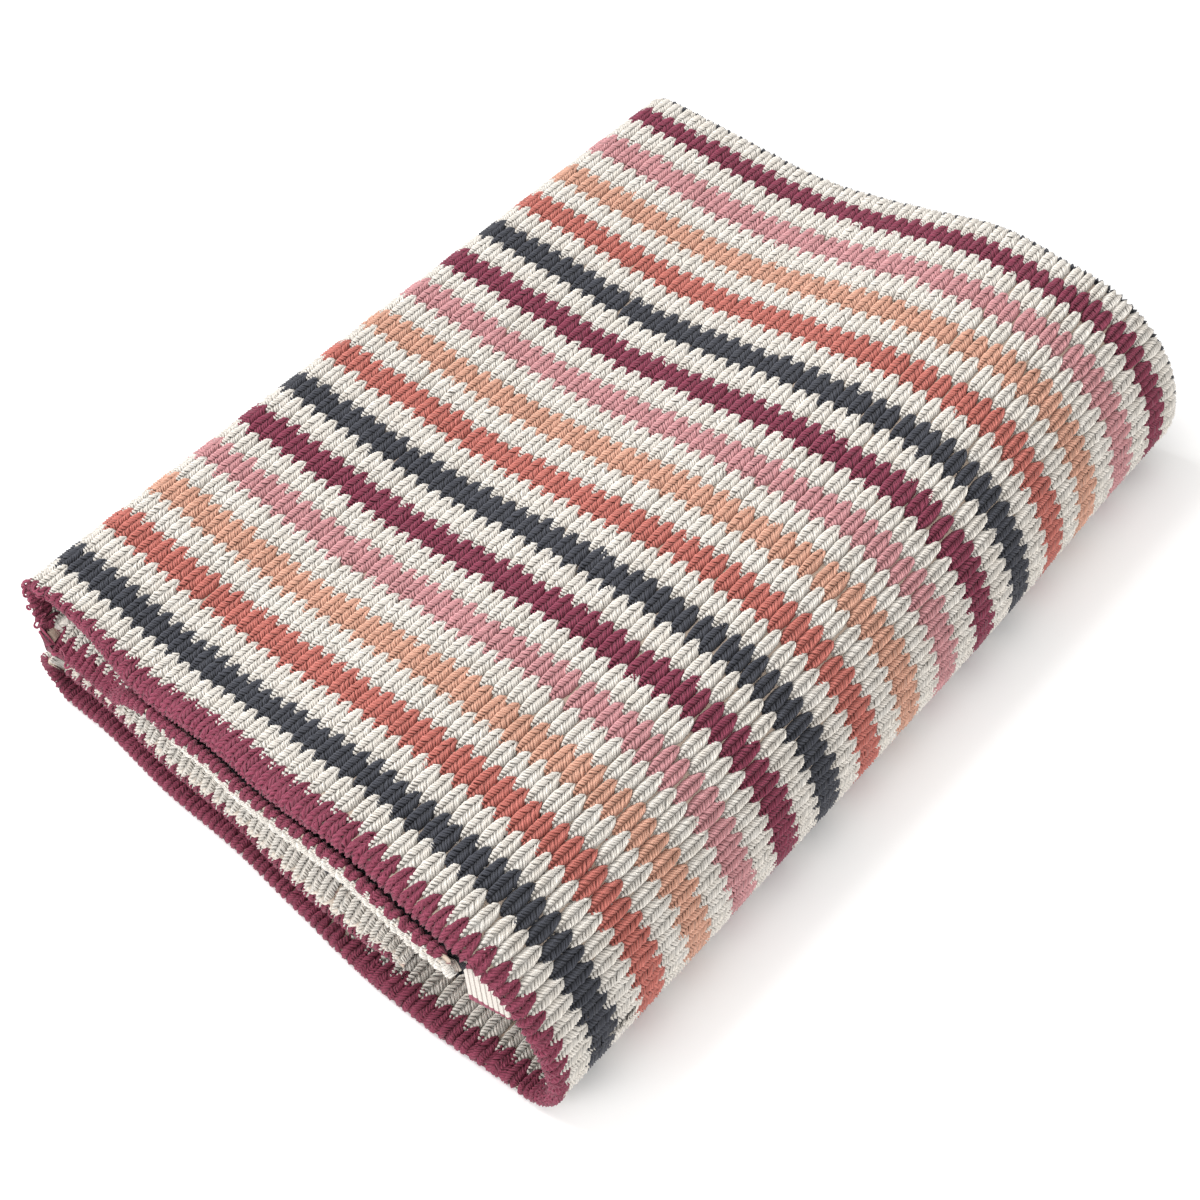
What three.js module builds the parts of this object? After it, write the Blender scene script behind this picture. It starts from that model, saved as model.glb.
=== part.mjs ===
// A thick ribbed cotton hand towel, folded into a soft pack: its two ends are folded in towards the middle,
// the whole is closed like a book, and the far edge is a fold whose cloth comes back inside the pack.
// Millimetres, +Z up. The near edge is towards -Y, the book's spine towards +X, and the pack lies on z = 0.

import * as THREE from 'three'

// The cloth
const clothThick = 4.0
const plyGap = 0.7
const grooveDeep = 1.1

// The pack
const packWidth = 200
const packDepth = 254
const farLean = -16.3 // the far end lies this much further to the left than the near end
const nearMouth = 3.9 // extra air between the two flaps at the near edge
const lowerInset = 3 // the lower pair's left fold lies this much further in than the upper pair's
const cornerRound = 1 // the left folds are set back this much at the near edge

// One doubled ply turns round another at the left, and the far fold is half as tall
const turnRadius = 2 * clothThick + 1.5 * plyGap
const foldRadius = clothThick + plyGap / 2
const turnX = -packWidth / 2 + turnRadius

// The spine: a tall quarter of an ellipse over a low one
const spineStartX = 69.2
const spineOver = 33.4
const spineTuck = 2.5 // the spine's far end bulges this much less
const spineTuckY = 150
const spineUnder = 15
const spineZ = 17.5
const underX = spineStartX + spineOver - spineUnder

// Where the two folded-in ends stop
const upperFlapX = 69
const lowerFlapX = 50
const returnY = 22 // the far return stops this far short of the near edge

// The right half of the pack is fuller than the left: the top climbs from one to the other
const climbStartX = -44.5
const climbEndX = 54.2
const climbShift = 15 // how far the climb moves to the right from the near end to the far end
const flapShare = 0.32 // the part of the climb that the upper flap shares
const climbs = [
  { y: 0, rise: 14.3 },
  { y: 80, rise: 11.2 },
  { y: 165, rise: 13.1 },
  { y: 254, rise: 20.7 },
]

// The upper flap's near edge curls up to the top layer, from the middle of the pack rightwards
const lipRise = 10
const lipTake = 9
const lipLength = 12
const lipStartX = -25
const lipFullX = 25

// The lower flap's near right corner is turned up a little
const cornerRise = 5
const cornerX = 32

// The cloth's outer face, followed from the upper flap's free end round to the lower flap's.
// reach: how far forward the near edge lies where the section starts; back: how far back the far fold lies
const sections = [
  { part: 'upperFlap', fromX: upperFlapX, toX: -15, steps: 6, reach: 3.5, back: 0 },
  { part: 'upperFlap', fromX: -15, toX: turnX, steps: 4, reach: 0.3, back: 0 },
  { part: 'upperTurn', steps: 12, reach: 2.3, back: 3.5 },
  { part: 'top', fromX: turnX, toX: -34, steps: 24, reach: -0.8, back: 4.5 },
  { part: 'top', fromX: -34, toX: 32, steps: 28, reach: -2, back: 3.5 },
  { part: 'top', fromX: 32, toX: spineStartX, steps: 16, reach: 2, back: 1 },
  { part: 'spineOver', steps: 24, reach: 4.3, back: -3 },
  { part: 'spineUnder', steps: 10, reach: 3.4, back: 4 },
  { part: 'bottom', fromX: underX, toX: 40, steps: 3, reach: 4.2, back: 1 },
  { part: 'bottom', fromX: 40, toX: 10, steps: 2, reach: 8.3, back: 0 },
  { part: 'bottom', fromX: 10, toX: turnX + lowerInset, steps: 3, reach: 6.2, back: 0 },
  { part: 'lowerTurn', steps: 12, reach: 5.3, back: 0 },
  { part: 'lowerFlap', fromX: turnX + lowerInset, toX: lowerFlapX, steps: 8, reach: 6, back: 0 },
]
const lastReach = 8
const reachFade = 45 // a forward or backward reach dies out over this depth
const edgeWave = 0.5

// Lines across the cloth, from the near edge to the far fold, and back to the end of the return
const outwardRows = [0, 3.5, 7, 12, 22, 45, 80, 115, 150, 185, 215, 238]
const foldSteps = 4
const returnRows = [215, 160, 100, 50]

const mix = (a, b, t) => a + (b - a) * t
const smooth = (t) => {
  const k = Math.min(1, Math.max(0, t))
  return k * k * (3 - 2 * k)
}

function riseAt(y) {
  const k = Math.max(1, climbs.findIndex((row) => row.y >= y))
  const from = climbs[k - 1]
  const to = climbs[k]
  return mix(from.rise, to.rise, (y - from.y) / (to.y - from.y))
}

function climb(x, y) {
  const shift = climbShift * (y / packDepth - 0.5)
  return riseAt(y) * smooth((x - climbStartX - shift) / (climbEndX - climbStartX))
}

const lowerFlapZ = 2 * turnRadius
const upperFlapZ = (x, y) => lowerFlapZ + plyGap + nearMouth * (1 - y / packDepth) + flapShare * climb(x, y)
const topZ = (x, y) => lowerFlapZ + plyGap + nearMouth * (1 - y / packDepth) + 2 * turnRadius + climb(x, y)

// The outer face in cross-section: u runs from 0 to 1 along the section, y is the depth behind the near edge
function crossSection(section, u, y) {
  const turn = Math.PI * u
  const quarter = (Math.PI / 2) * u
  const x = mix(section.fromX, section.toX, u)
  switch (section.part) {
    case 'upperFlap':
      return [x, upperFlapZ(x, y)]
    case 'upperTurn': {
      const middle = (1 - Math.cos(turn)) / 2
      return [turnX - turnRadius * Math.sin(turn), mix(upperFlapZ(turnX, y), topZ(turnX, y), middle)]
    }
    case 'top':
      return [x, topZ(x, y)]
    case 'spineOver': {
      const over = spineOver - spineTuck * smooth((y - spineTuckY) / (packDepth - spineTuckY))
      return [spineStartX + over * Math.sin(quarter), mix(spineZ, topZ(spineStartX, y), Math.cos(quarter))]
    }
    case 'spineUnder': {
      const tuck = spineTuck * smooth((y - spineTuckY) / (packDepth - spineTuckY))
      return [underX - tuck + spineUnder * Math.cos(quarter), spineZ * (1 - Math.sin(quarter))]
    }
    case 'bottom':
      return [x, 0]
    case 'lowerTurn':
      return [turnX + lowerInset - turnRadius * Math.sin(turn), turnRadius * (1 - Math.cos(turn))]
    default:
      return [x, lowerFlapZ]
  }
}

// Where a free edge curls up: how much it rises and how much depth that takes
function curl(section, x, y) {
  if (section.part === 'upperFlap') {
    const strength = smooth((x - lipStartX) / (lipFullX - lipStartX))
    return { rise: strength * lipRise * (1 - smooth(y / lipLength)), take: strength * lipTake * smooth(y / lipLength) }
  }
  if (section.part === 'lowerFlap') {
    return { rise: cornerRise * smooth((x - cornerX) / (lowerFlapX - cornerX)) * (1 - smooth(y / lipLength)), take: 0 }
  }
  return { rise: 0, take: 0 }
}

// A point of the outer face as it lies: the cross-section, with its near and far edges set forward and back
function outerPoint(section, u, y) {
  const [x, z] = crossSection(section, u, y)
  const near = 1 - smooth(y / reachFade)
  const far = 1 - smooth((packDepth - y) / reachFade)
  const left = section.part === 'upperTurn' || section.part === 'lowerTurn'
  const round = left ? cornerRound * Math.sin(Math.PI * u) : 0
  const forward = (mix(section.reach, section.nextReach, smooth(u)) - round + edgeWave * Math.sin(x / 9)) * near
  const backward = mix(section.back, section.nextBack, smooth(u)) * far
  const { rise, take } = curl(section, x, y)
  const taken = take * (1 - smooth((y - lipLength) / reachFade))
  return new THREE.Vector3(
    x + farLean * (y / packDepth - 0.5),
    y - packDepth / 2 - forward + backward - taken,
    z + rise
  )
}

// The direction into the cloth, square to the outer face
function inward(section, u, y) {
  const [du, dy] = [0.001, 0.05]
  const along = outerPoint(section, Math.min(1, u + du), y).sub(outerPoint(section, Math.max(0, u - du), y))
  const away = outerPoint(section, u, y + dy).sub(outerPoint(section, u, y - dy))
  return away.cross(along).normalize()
}

// A column of the cloth is one place along its outer face, and every other column of the ribbed part is a groove
function makeColumns() {
  const columns = []
  sections.forEach((row, k) => {
    const next = sections[k + 1] ?? { reach: lastReach, back: 0 }
    const section = { ...row, nextReach: next.reach, nextBack: next.back }
    const ribbed = section.steps >= 10
    const turned = section.steps <= 12
    for (let i = 0; i < section.steps; i++) {
      columns.push({
        section,
        u: i / section.steps,
        groove: ribbed && i % 2 === 1 ? grooveDeep : 0,
        coarse: !ribbed || i % (turned ? 2 : 4) === 0,
      })
    }
    if (k === sections.length - 1) columns.push({ section, u: 1, groove: 0, coarse: true })
  })
  return columns
}

// A row of a face: its place along the depth, and how far it lies inside the outer face
function makeRows(outside) {
  const first = outside ? 0 : clothThick
  const last = outside ? 2 * foldRadius : clothThick + plyGap
  const radius = outside ? foldRadius : plyGap / 2
  const foldY = packDepth - foldRadius
  const rows = outwardRows.map((y) => ({ y, deep: first, ribbed: outside ? 1 : 0 }))
  for (let i = 0; i <= foldSteps; i++) {
    const angle = (Math.PI * i) / foldSteps
    const ribbed = outside ? Math.max(0, Math.cos(angle)) : 0
    rows.push({ y: foldY + radius * Math.sin(angle), deep: foldRadius - radius * Math.cos(angle), ribbed })
  }
  returnRows.forEach((y) => rows.push({ y, deep: last, ribbed: 0 }))
  rows.push({ y: returnY, deep: last, ribbed: 0 })
  return rows
}

function clothPoint(column, row) {
  const deep = row.deep + row.ribbed * column.groove
  const point = outerPoint(column.section, column.u, row.y)
  return point.addScaledVector(inward(column.section, column.u, row.y), deep).toArray()
}

// Two rows of points that share their ends, joined by triangles though one has fewer points than the other
function joinBorders(fine, coarse, faces, flip) {
  const add = (a, b, c) => faces.push(...(flip ? [a, c, b] : [a, b, c]))
  for (let k = 0; k + 1 < coarse.length; k++) {
    const from = fine.findIndex((point) => point.place === coarse[k].place)
    const to = fine.findIndex((point) => point.place === coarse[k + 1].place)
    const middle = Math.ceil((from + to) / 2)
    for (let i = from; i < to; i++) {
      const near = i < middle ? coarse[k] : coarse[k + 1]
      add(fine[i].index, fine[i + 1].index, near.index)
      if (i + 1 === middle) add(fine[middle].index, coarse[k + 1].index, coarse[k].index)
    }
  }
}

function makeCloth() {
  const columns = makeColumns().map((column, place) => ({ ...column, place }))
  const positions = []
  const faces = []

  // A grid of points over one face, and the triangles between them
  function grid(gridColumns, rows, flip) {
    const points = rows.map((row) =>
      gridColumns.map((column) => {
        positions.push(...clothPoint(column, row))
        return { index: positions.length / 3 - 1, place: column.place }
      })
    )
    for (let r = 0; r + 1 < points.length; r++) {
      for (let c = 0; c + 1 < gridColumns.length; c++) {
        const a = points[r][c].index
        const b = points[r][c + 1].index
        const d = points[r + 1][c].index
        const e = points[r + 1][c + 1].index
        faces.push(...(flip ? [a, d, b, b, d, e] : [a, b, d, b, e, d]))
      }
    }
    return points
  }

  const outer = grid(columns, makeRows(true), false)
  const inner = grid(columns.filter((column) => column.coarse), makeRows(false), true)
  const lastRow = outer.length - 1
  joinBorders(outer[0], inner[0], faces, true)
  joinBorders(outer[lastRow], inner[lastRow], faces, false)

  // The free ends of the two flaps
  for (let r = 0; r < lastRow; r++) {
    const a = outer[r][0].index
    const b = outer[r + 1][0].index
    const c = inner[r][0].index
    const d = inner[r + 1][0].index
    faces.push(a, b, c, b, d, c)
    const e = outer[r][outer[r].length - 1].index
    const f = outer[r + 1][outer[r].length - 1].index
    const g = inner[r][inner[r].length - 1].index
    const h = inner[r + 1][inner[r].length - 1].index
    faces.push(e, g, f, f, g, h)
  }

  const geometry = new THREE.BufferGeometry()
  geometry.setAttribute('position', new THREE.Float32BufferAttribute(positions, 3))
  geometry.setIndex(faces)
  geometry.computeVertexNormals()
  return geometry
}

// The woven tab hangs from under the top layer, just inside the near edge
const tabThick = 1.0
const tabNearY = -packDepth / 2 - 1.5
const tabCorners = [
  { x: 83.5, z: 46.5 },
  { x: 81.3, z: 24.5 },
  { x: 82.3, z: 22.3 },
  { x: 85.0, z: 22.6 },
  { x: 97.0, z: 31.5 },
  { x: 97.5, z: 37.5 },
]

function makeTab() {
  const outline = new THREE.Shape(tabCorners.map((corner) => new THREE.Vector2(corner.x, corner.z)))
  const geometry = new THREE.ExtrudeGeometry(outline, { depth: tabThick, bevelEnabled: false })
  geometry.rotateX(Math.PI / 2)
  geometry.translate(0, tabNearY + tabThick, 0)
  return geometry
}

const towel = new THREE.Mesh(makeCloth(), new THREE.MeshStandardMaterial({ color: 0xd9b5aa, roughness: 0.95, metalness: 0 }))
towel.name = 'towel'

const tab = new THREE.Mesh(makeTab(), new THREE.MeshStandardMaterial({ color: 0xf3ece4, roughness: 0.8, metalness: 0 }))
tab.name = 'tab'

const pack = new THREE.Group()
pack.add(towel, tab)

// The origin is under the middle of the pack
const middle = new THREE.Box3().setFromObject(pack).getCenter(new THREE.Vector3())
for (const piece of [towel, tab]) {
  piece.geometry.translate(-middle.x, -middle.y, 0)
}

export default pack
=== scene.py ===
# The folded hand towel: a ribbed cotton cloth of leaf-shaped knit stitches in stripes, folded into a pack.
# Sizes on the cloth are in millimetres; they become metres once a piece's points are placed.
import math

import bmesh
import bpy
import numpy as np
from mathutils import Matrix, Vector


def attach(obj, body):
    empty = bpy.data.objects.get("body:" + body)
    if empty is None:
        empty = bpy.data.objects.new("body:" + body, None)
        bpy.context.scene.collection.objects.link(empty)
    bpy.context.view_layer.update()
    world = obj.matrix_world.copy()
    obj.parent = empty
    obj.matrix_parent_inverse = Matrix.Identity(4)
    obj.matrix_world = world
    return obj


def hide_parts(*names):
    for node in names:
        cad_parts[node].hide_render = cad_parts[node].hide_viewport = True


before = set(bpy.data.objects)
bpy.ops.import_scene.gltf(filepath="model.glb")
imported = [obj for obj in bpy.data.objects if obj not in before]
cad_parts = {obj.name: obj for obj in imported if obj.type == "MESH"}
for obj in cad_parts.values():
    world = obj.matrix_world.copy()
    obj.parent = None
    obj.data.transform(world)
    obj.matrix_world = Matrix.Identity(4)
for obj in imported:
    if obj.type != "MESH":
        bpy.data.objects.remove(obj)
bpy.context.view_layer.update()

MM = 0.001
RANDOM = np.random.default_rng(7)

# The cloth and the folds, as in the part's source
THICK = 4.0
PLY_GAP = 0.7
PACK_WIDTH = 200.0
PACK_DEPTH = 254.0
FAR_LEAN = -16.3
NEAR_MOUTH = 3.9
LOWER_INSET = 3.0
CORNER_ROUND = 1.0
TURN_RADIUS = 2 * THICK + 1.5 * PLY_GAP
FOLD_RADIUS = THICK + PLY_GAP / 2
TURN_X = -PACK_WIDTH / 2 + TURN_RADIUS
SPINE_START_X = 69.2
SPINE_OVER = 33.4
SPINE_TUCK = 2.5
SPINE_TUCK_Y = 150.0
TUCK_END_X = 40.0
SPINE_UNDER = 15.0
SPINE_Z = 17.5
UNDER_X = SPINE_START_X + SPINE_OVER - SPINE_UNDER
RETURN_Y = 22.0
CLIMB_START_X = -44.5
CLIMB_END_X = 54.2
CLIMB_SHIFT = 15.0
CLIMB_Y = [0.0, 80.0, 165.0, 254.0]
CLIMB_RISE = [14.3, 11.2, 13.1, 20.7]

# The upper flap climbs less than the top layer, but lies close under it near the edge
FLAP_SHARE = 0.32
FLAP_LIFT = 0.6
FLAP_LIFT_FADE = 120.0
EDGE_LIFT = 4.5
EDGE_LIFT_X = -75.0
EDGE_LIFT_SPREAD = 35.0
EDGE_LIFT_FADE = 70.0
UPPER_FLAP_X = 76.0
LOWER_FLAP_X = 50.0
CORNER_RISE = 5.0
CORNER_X = 32.0

# The flaps' near edges bend: down at the left, and up and back over themselves at the right of the upper flap
BEND_STRAIGHT = 4.0
BEND_ARC = 10.0
BEND_LENGTH = BEND_STRAIGHT + BEND_ARC
BEND_FADE = 90.0
UPPER_BEND_X = [-91.0, -60.0, -50.0, -38.0, -25.0, 0.0, 30.0, 76.0]
UPPER_BEND_DEGREES = [-35.0, -30.0, 20.0, 62.0, 80.0, 90.0, 95.0, 95.0]
UPPER_BEND_TAKE = [0.5, 1.9, 3.9, 8.4, 12.3, 14.2, 13.6, 11.8]
LOWER_BEND_DEGREES = -45.0
REACH_FADE = 45.0
TOP_REACH_FADE = 16.0
EDGE_WAVE = 0.5
EDGE_WAVE_LENGTH = 9.0
MIDDLE_X = 1.44
MIDDLE_Y = -1.84

# Each section of the cloth from the upper flap's free end round to the lower flap's:
# part, where it starts and ends in x, its number of ribs, how far forward its near edge and how far back its
# far fold lie at its start
SECTIONS = [
    ("upper flap", UPPER_FLAP_X, -15.0, 19, 3.5, 0.0),
    ("upper flap", -15.0, TURN_X, 16, 0.3, 0.0),
    ("upper turn", 0.0, 0.0, 6, 2.3, 3.5),
    ("top", TURN_X, -34.0, 12, -0.8, 4.5),
    ("top", -34.0, 32.0, 14, 2.7, 3.5),
    ("top", 32.0, SPINE_START_X, 8, 4.5, 1.0),
    ("spine over", 0.0, 0.0, 12, 4.3, -3.0),
    ("spine under", 0.0, 0.0, 5, 3.4, 4.0),
    ("bottom", UNDER_X, TUCK_END_X, 10, 4.2, 1.0),
    ("bottom", TUCK_END_X, 10.0, 6, 8.3, 0.0),
    ("bottom", 10.0, TURN_X + LOWER_INSET, 21, 6.2, 0.0),
    ("lower turn", 0.0, 0.0, 6, 5.3, 0.0),
    ("lower flap", TURN_X + LOWER_INSET, LOWER_FLAP_X, 29, 6.0, 0.0),
]
LAST_REACH = 8.0
RIB_COUNT = sum(section[3] for section in SECTIONS)


def first_rib(part):
    """The number of the rib at which a part of the cloth starts."""
    parts = [section[0] for section in SECTIONS]
    return sum(section[3] for section in SECTIONS[: parts.index(part)])


UPPER_TURN_RIB = first_rib("upper turn")
TOP_RIB = first_rib("top")
SPINE_RIB = first_rib("spine over")
BOTTOM_RIB = first_rib("bottom")
LOWER_TURN_RIB = first_rib("lower turn")
LOWER_FLAP_RIB = first_rib("lower flap")

# The knit
RIB_PITCH = 4.75
BAND_PITCH = 8.17
BAND_START = 0.33
EDGE_RADIUS = THICK / 2


def mix(a, b, t):
    return a + (b - a) * t


def smooth(t):
    k = np.clip(t, 0.0, 1.0)
    return k * k * (3 - 2 * k)


def ease(t, run):
    """From 0 to 1 over a run, given as its start and its length."""
    start, length = run
    return smooth((t - start) / length)


def climb(x, y):
    """How much higher the top layer lies towards the spine."""
    shift = CLIMB_SHIFT * (y / PACK_DEPTH - 0.5)
    rise = np.interp(y, CLIMB_Y, CLIMB_RISE)
    return rise * smooth((x - CLIMB_START_X - shift) / (CLIMB_END_X - CLIMB_START_X))


def upper_flap_z(x, y):
    share = FLAP_SHARE + FLAP_LIFT * (1 - smooth(y / FLAP_LIFT_FADE))
    lift = EDGE_LIFT * smooth((x - EDGE_LIFT_X) / EDGE_LIFT_SPREAD) * (1 - smooth(y / EDGE_LIFT_FADE))
    return 2 * TURN_RADIUS + PLY_GAP + NEAR_MOUTH * (1 - y / PACK_DEPTH) + share * climb(x, y) + lift


def top_z(x, y):
    return 4 * TURN_RADIUS + PLY_GAP + NEAR_MOUTH * (1 - y / PACK_DEPTH) + climb(x, y)


def cross_section(part, from_x, to_x, u, y):
    """The outer face across the pack: u runs from 0 to 1 along the section, y is the depth from the edge."""
    turn = math.pi * u
    quarter = turn / 2
    tuck = SPINE_TUCK * smooth((y - SPINE_TUCK_Y) / (PACK_DEPTH - SPINE_TUCK_Y))
    x = mix(from_x, to_x, u)
    if part == "upper flap":
        return x, upper_flap_z(x, y)
    if part == "upper turn":
        side = np.full_like(y, TURN_X)
        z = mix(upper_flap_z(side, y), top_z(side, y), (1 - np.cos(turn)) / 2)
        return TURN_X - TURN_RADIUS * np.sin(turn), z
    if part == "top":
        return x, top_z(x, y)
    if part == "spine over":
        z = mix(SPINE_Z, top_z(np.full_like(y, SPINE_START_X), y), np.cos(quarter))
        return SPINE_START_X + (SPINE_OVER - tuck) * np.sin(quarter), z
    if part == "spine under":
        return UNDER_X - tuck + SPINE_UNDER * np.cos(quarter), SPINE_Z * (1 - np.sin(quarter))
    if part == "bottom":
        return x - tuck * np.clip((x - TUCK_END_X) / (UNDER_X - TUCK_END_X), 0, 1), np.zeros_like(x)
    if part == "lower turn":
        return TURN_X + LOWER_INSET - TURN_RADIUS * np.sin(turn), TURN_RADIUS * (1 - np.cos(turn))
    return x, np.full_like(x, 2 * TURN_RADIUS)


def bend(depth, degrees, take):
    """How far a flap's face is shifted in depth and raised where its near edge bends round by an angle."""
    turn = np.radians(np.where(np.abs(degrees) < 0.1, 0.1, degrees))
    radius = BEND_ARC / turn
    angle = turn * np.clip((BEND_LENGTH - depth) / BEND_ARC, 0, 1)
    straight = np.clip(BEND_STRAIGHT - depth, 0, None)
    y = BEND_LENGTH - radius * np.sin(angle) - np.cos(turn) * straight
    rise = radius * (1 - np.cos(angle)) + np.sin(turn) * straight
    fade = 1 - smooth((depth - BEND_LENGTH) / BEND_FADE)
    shift = np.where(depth < BEND_LENGTH, y - depth, 0.0) - take * fade
    return shift, rise


def near_bend(part, x, depth):
    """The shift in depth and the rise of a flap's bent near edge; the other layers lie flat there."""
    if part == "upper flap":
        degrees = np.interp(x, UPPER_BEND_X, UPPER_BEND_DEGREES)
        return bend(depth, degrees, np.interp(x, UPPER_BEND_X, UPPER_BEND_TAKE))
    if part == "lower flap":
        shift, rise = bend(depth, np.full_like(x, LOWER_BEND_DEGREES), 0.0)
        strength = smooth((x - CORNER_X) / (LOWER_FLAP_X - CORNER_X))
        return shift, rise + CORNER_RISE * strength * (1 - smooth(depth / BEND_LENGTH))
    return 0.0, 0.0


def outer_point(rib, y):
    """Points of the cloth's outer face as it lies, in millimetres, for rib numbers and depths."""
    points = np.zeros(rib.shape + (3,))
    start = 0
    for k, (part, from_x, to_x, ribs, reach, back) in enumerate(SECTIONS):
        first = k == 0
        last = k == len(SECTIONS) - 1
        here = ((rib >= start) | first) & ((rib < start + ribs) | last)
        if here.any():
            u = (rib[here] - start) / ribs
            depth = y[here]
            x, z = cross_section(part, from_x, to_x, u, depth)
            next_reach, next_back = (LAST_REACH, 0.0) if last else SECTIONS[k + 1][4:]
            fade = TOP_REACH_FADE if part in ("top", "spine over") else REACH_FADE
            near = 1 - smooth(depth / fade)
            far = 1 - smooth((PACK_DEPTH - depth) / REACH_FADE)
            turned = part in ("upper turn", "lower turn")
            rounding = CORNER_ROUND * np.sin(math.pi * u) if turned else 0.0
            wave = EDGE_WAVE * np.sin(x / EDGE_WAVE_LENGTH)
            forward = (mix(reach, next_reach, smooth(u)) - rounding + wave) * near
            backward = mix(back, next_back, smooth(u)) * far
            shift, rise = near_bend(part, x, depth)
            points[here, 0] = x + FAR_LEAN * (depth / PACK_DEPTH - 0.5) - MIDDLE_X
            points[here, 1] = depth + shift - PACK_DEPTH / 2 - forward + backward - MIDDLE_Y
            points[here, 2] = z + rise
        start += ribs
    return points


def inward(rib, y):
    """The direction into the cloth, square to its outer face."""
    along = outer_point(rib + 0.01, y) - outer_point(rib - 0.01, y)
    away = outer_point(rib, y + 0.05) - outer_point(rib, y - 0.05)
    across = np.cross(away, along)
    return across / np.linalg.norm(across, axis=-1, keepdims=True)


# The length along the cloth, t: it is the depth on the outer face and grows round the far fold and along the
# return. Below the near edge it goes round the edge, and on along the inner face.
FOLD_Y = PACK_DEPTH - FOLD_RADIUS
FOLD_T = FOLD_Y + math.pi * FOLD_RADIUS
RETURN_T = FOLD_T + FOLD_Y - RETURN_Y - EDGE_RADIUS
EDGE_T = EDGE_RADIUS
INNER_T = EDGE_T - math.pi * EDGE_RADIUS
INNER_FOLD_RADIUS = PLY_GAP / 2
INNER_FOLD_T = INNER_T - (FOLD_Y - EDGE_RADIUS)
INNER_RETURN_T = INNER_FOLD_T - math.pi * INNER_FOLD_RADIUS


def unroll(t, h):
    """Depth and distance inside the outer face for places t along the cloth's loop, h above its face."""
    y = t.copy()
    deep = -h.copy()
    here = (t > FOLD_Y) & (t <= FOLD_T)
    angle = (t[here] - FOLD_Y) / FOLD_RADIUS
    y[here] = FOLD_Y + (FOLD_RADIUS + h[here]) * np.sin(angle)
    deep[here] = FOLD_RADIUS - (FOLD_RADIUS + h[here]) * np.cos(angle)
    here = (t > FOLD_T) & (t <= RETURN_T)
    y[here] = FOLD_Y - (t[here] - FOLD_T)
    deep[here] = 2 * FOLD_RADIUS + h[here]
    here = t > RETURN_T
    angle = (t[here] - RETURN_T) / EDGE_RADIUS
    y[here] = RETURN_Y + EDGE_RADIUS - (EDGE_RADIUS + h[here]) * np.sin(angle)
    deep[here] = 2 * FOLD_RADIUS - EDGE_RADIUS + (EDGE_RADIUS + h[here]) * np.cos(angle)
    here = (t < EDGE_T) & (t >= INNER_T)
    angle = (EDGE_T - t[here]) / EDGE_RADIUS
    y[here] = EDGE_RADIUS - (EDGE_RADIUS + h[here]) * np.sin(angle)
    deep[here] = EDGE_RADIUS - (EDGE_RADIUS + h[here]) * np.cos(angle)
    here = (t < INNER_T) & (t >= INNER_FOLD_T)
    y[here] = EDGE_RADIUS + (INNER_T - t[here])
    deep[here] = THICK + h[here]
    here = (t < INNER_FOLD_T) & (t >= INNER_RETURN_T)
    angle = (INNER_FOLD_T - t[here]) / INNER_FOLD_RADIUS
    y[here] = FOLD_Y + (INNER_FOLD_RADIUS - h[here]) * np.sin(angle)
    deep[here] = FOLD_RADIUS - (INNER_FOLD_RADIUS - h[here]) * np.cos(angle)
    here = t < INNER_RETURN_T
    y[here] = FOLD_Y - (INNER_RETURN_T - t[here])
    deep[here] = THICK + PLY_GAP - h[here]
    return y, deep


STRETCH_RIB = [TOP_RIB, TOP_RIB + 12, TOP_RIB + 19, TOP_RIB + 26, SPINE_RIB, SPINE_RIB + 12, BOTTOM_RIB]
STRETCH = [0.0, 4.4, 4.5, 4.3, 3.8, 2.6, 0.0]
STRETCH_RUN_IN = (-7.0, 6.0)
STRETCH_RUN_OUT = (1.0, 15.0)
FAR_GATHER = 1.9
FAR_GATHER_RUN = (236.0, 14.0)


def edge_stretch(rib, t):
    """Where the top layer's near edge reaches forward, its first band is longer and the others stay in place.

    At the far fold the rows are gathered a little, so the band behind it peeps over.
    """
    near = ease(t, STRETCH_RUN_IN) * (1 - ease(t, STRETCH_RUN_OUT))
    return t + np.interp(rib, STRETCH_RIB, STRETCH) * near - FAR_GATHER * ease(t, FAR_GATHER_RUN)


def place(rib, t, h, squeeze=None):
    """Points in metres for rib numbers, lengths t along the cloth and heights h above its face."""
    rib, t, h = (np.array(a, float) for a in np.broadcast_arrays(rib, t, h))
    t = edge_stretch(rib, t)
    y, deep = unroll(t, h)
    if squeeze is not None:
        returned = (t > FOLD_T) | (t < INNER_RETURN_T)
        middle = np.where(returned, 2 * FOLD_RADIUS - EDGE_RADIUS, EDGE_RADIUS)
        deep = mix(middle, deep, squeeze)
    points = outer_point(rib, y) + inward(rib, y) * deep[..., None]
    return points * MM


def finish_piece(name, mesh, material):
    """The new object of a mesh, carried by the towel, with its material."""
    piece = bpy.data.objects.new(name, mesh)
    bpy.context.scene.collection.objects.link(piece)
    mesh.materials.append(material)
    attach(piece, "root")
    return piece


def grid(rows, columns):
    """A flat grid of points as a bmesh; each of its corners keeps its place in the grid, row by row."""
    body = bmesh.new()
    bmesh.ops.create_grid(body, x_segments=columns - 1, y_segments=rows - 1, size=1)
    place_in_grid = body.verts.layers.int.new("place")
    for k, corner in enumerate(body.verts):
        corner[place_in_grid] = k
    return body, place_in_grid


def write_cloth_map(body, place_in_grid, uv):
    """The cloth's own map, from one pair of values for each place in the grid."""
    layer = body.loops.layers.uv.new("cloth")
    for face in body.faces:
        face.smooth = True
        for loop in face.loops:
            loop[layer].uv = uv[loop.vert[place_in_grid]]


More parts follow.
